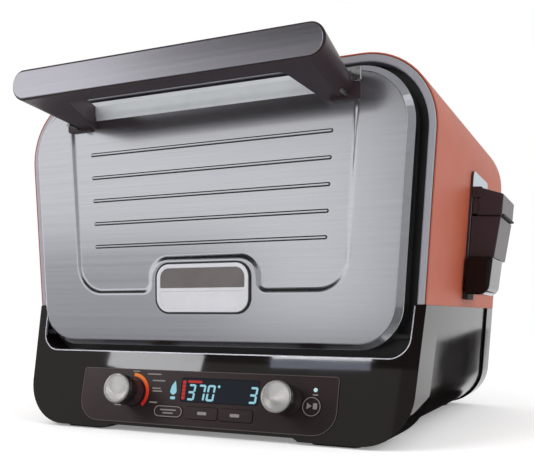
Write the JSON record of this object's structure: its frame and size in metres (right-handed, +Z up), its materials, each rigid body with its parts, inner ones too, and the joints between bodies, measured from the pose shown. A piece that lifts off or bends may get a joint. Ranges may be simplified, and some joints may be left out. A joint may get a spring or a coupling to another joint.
{
  "type": "electric outdoor pizza oven",
  "caption": "Box-shaped electric oven with a drop-down steel door, a long bar handle, a leaning control panel with dials and display, and a side smoke box.",
  "frame": {"origin": "middle of the oven's outer box, on the table that its feet stand on", "axes": "+Z up, -Y towards the cook, +X to the right where the smoke box is"},
  "size_m": [0.5236, 0.531, 0.383],
  "materials": {
    "terracotta_paint": "satin powder coat",
    "door_steel": "fine horizontal brush",
    "handle_steel": "fine horizontal brush",
    "rim_grey": "satin",
    "gloss_black": "polished",
    "soft_black": "fine grain",
    "panel_black": "satin",
    "dark_enamel": "satin enamel",
    "sheet_steel": "plain sheet",
    "bright_metal": "bright plated",
    "knob_aluminium": "spun face",
    "heater_sheath": "oxidised",
    "baking_stone": "unglazed",
    "wool": "fibre blanket",
    "circuit_board": "solder mask",
    "display_glass": "polished dark window",
    "heat_scale": "printed orange to red",
    "led_lens": "diffuse lens",
    "rubber": "matt",
    "badge_metal": "two-tone, bare"
  },
  "bodies": {
    "oven_body": {"outer_shell": "terracotta_paint", "front_rim": "rim_grey", "front_fascia": "gloss_black", "base_housing": "gloss_black", "rear_base_cover": "gloss_black", "rear_panel": "dark_enamel", "rear_spacers": "soft_black", "housing_screws": "sheet_steel", "base_plate": "sheet_steel", "feet": "rubber", "cavity_front_frame": "dark_enamel", "cavity_liner": "sheet_steel", "insulation_blanket": "wool", "fan_baffle": "sheet_steel", "fan_motor": "sheet_steel", "upper_element": "heater_sheath", "lower_element": "heater_sheath", "temperature_probe": "bright_metal", "rack_rails": "sheet_steel", "stone_rack": "bright_metal", "pizza_stone": "baking_stone", "control_panel": "panel_black", "display_window": "display_glass", "control_board": "circuit_board", "function_switch": "sheet_steel", "time_encoder": "sheet_steel", "dial_ring": "heat_scale", "power_led": "led_lens", "power_board": "circuit_board", "cord_gland": "soft_black", "hinge_brackets": "sheet_steel", "hinge_pins": "bright_metal", "smoke_plate": "rim_grey", "smoke_hopper": "soft_black", "smoke_base": "gloss_black", "smoke_lid_pin": "bright_metal", "pellet_basket": "sheet_steel", "igniter_rod": "baking_stone"},
    "door": {"door_skin": "door_steel", "door_inner_panel": "sheet_steel", "door_insulation": "wool", "door_gasket": "rubber", "door_badge": "badge_metal", "door_hinge_blocks": "sheet_steel", "handle_brackets": "bright_metal", "handle_body": "soft_black", "handle_plate": "handle_steel", "handle_screws": "sheet_steel"},
    "function_dial": {"function_knob": "soft_black", "function_knob_cap": "knob_aluminium"},
    "time_dial": {"time_knob": "soft_black", "time_knob_cap": "knob_aluminium"},
    "smoke_key": {"smoke_button": "panel_black"},
    "temp_key": {"temp_button": "panel_black"},
    "time_key": {"time_button": "panel_black"},
    "start_key": {"start_button": "panel_black"},
    "fan_rotor": {"convection_fan": "bright_metal"},
    "smoke_box_lid": {"smoke_lid": "soft_black"}
  },
  "joints": [
    {"name": "door_swing", "type": "hinge", "parent": "oven_body", "child": "door", "pos_m": [-0.01679, -0.153, 0.108], "axis": [1, 0, 0], "range_deg": [0, 85]},
    {"name": "function_turn", "type": "hinge", "parent": "oven_body", "child": "function_dial", "pos_m": [-0.10279, -0.18732, 0.04512], "axis": [0, -0.9724, 0.2334], "range_deg": [-150, 150]},
    {"name": "time_turn", "type": "hinge", "parent": "oven_body", "child": "time_dial", "pos_m": [0.08521, -0.18732, 0.04512], "axis": [0, -0.9724, 0.2334], "continuous": true},
    {"name": "smoke_press", "type": "slide", "parent": "oven_body", "child": "smoke_key", "axis": [0, 0.9724, -0.2334], "range_m": [0, 0.0012], "stiffness_N_per_m": 400},
    {"name": "temp_press", "type": "slide", "parent": "oven_body", "child": "temp_key", "axis": [0, 0.9724, -0.2334], "range_m": [0, 0.0012], "stiffness_N_per_m": 400},
    {"name": "time_press", "type": "slide", "parent": "oven_body", "child": "time_key", "axis": [0, 0.9724, -0.2334], "range_m": [0, 0.0012], "stiffness_N_per_m": 400},
    {"name": "start_press", "type": "slide", "parent": "oven_body", "child": "start_key", "axis": [0, 0.9724, -0.2334], "range_m": [0, 0.0012], "stiffness_N_per_m": 400},
    {"name": "fan_spin", "type": "hinge", "parent": "oven_body", "child": "fan_rotor", "pos_m": [-0.01679, 0.2055, 0.224], "axis": [0, 1, 0], "continuous": true},
    {"name": "smoke_lid_swing", "type": "hinge", "parent": "oven_body", "child": "smoke_box_lid", "pos_m": [0.23388, 0.0715, 0.2702], "axis": [0, -1, 0], "range_deg": [0, 85]}
  ]
}
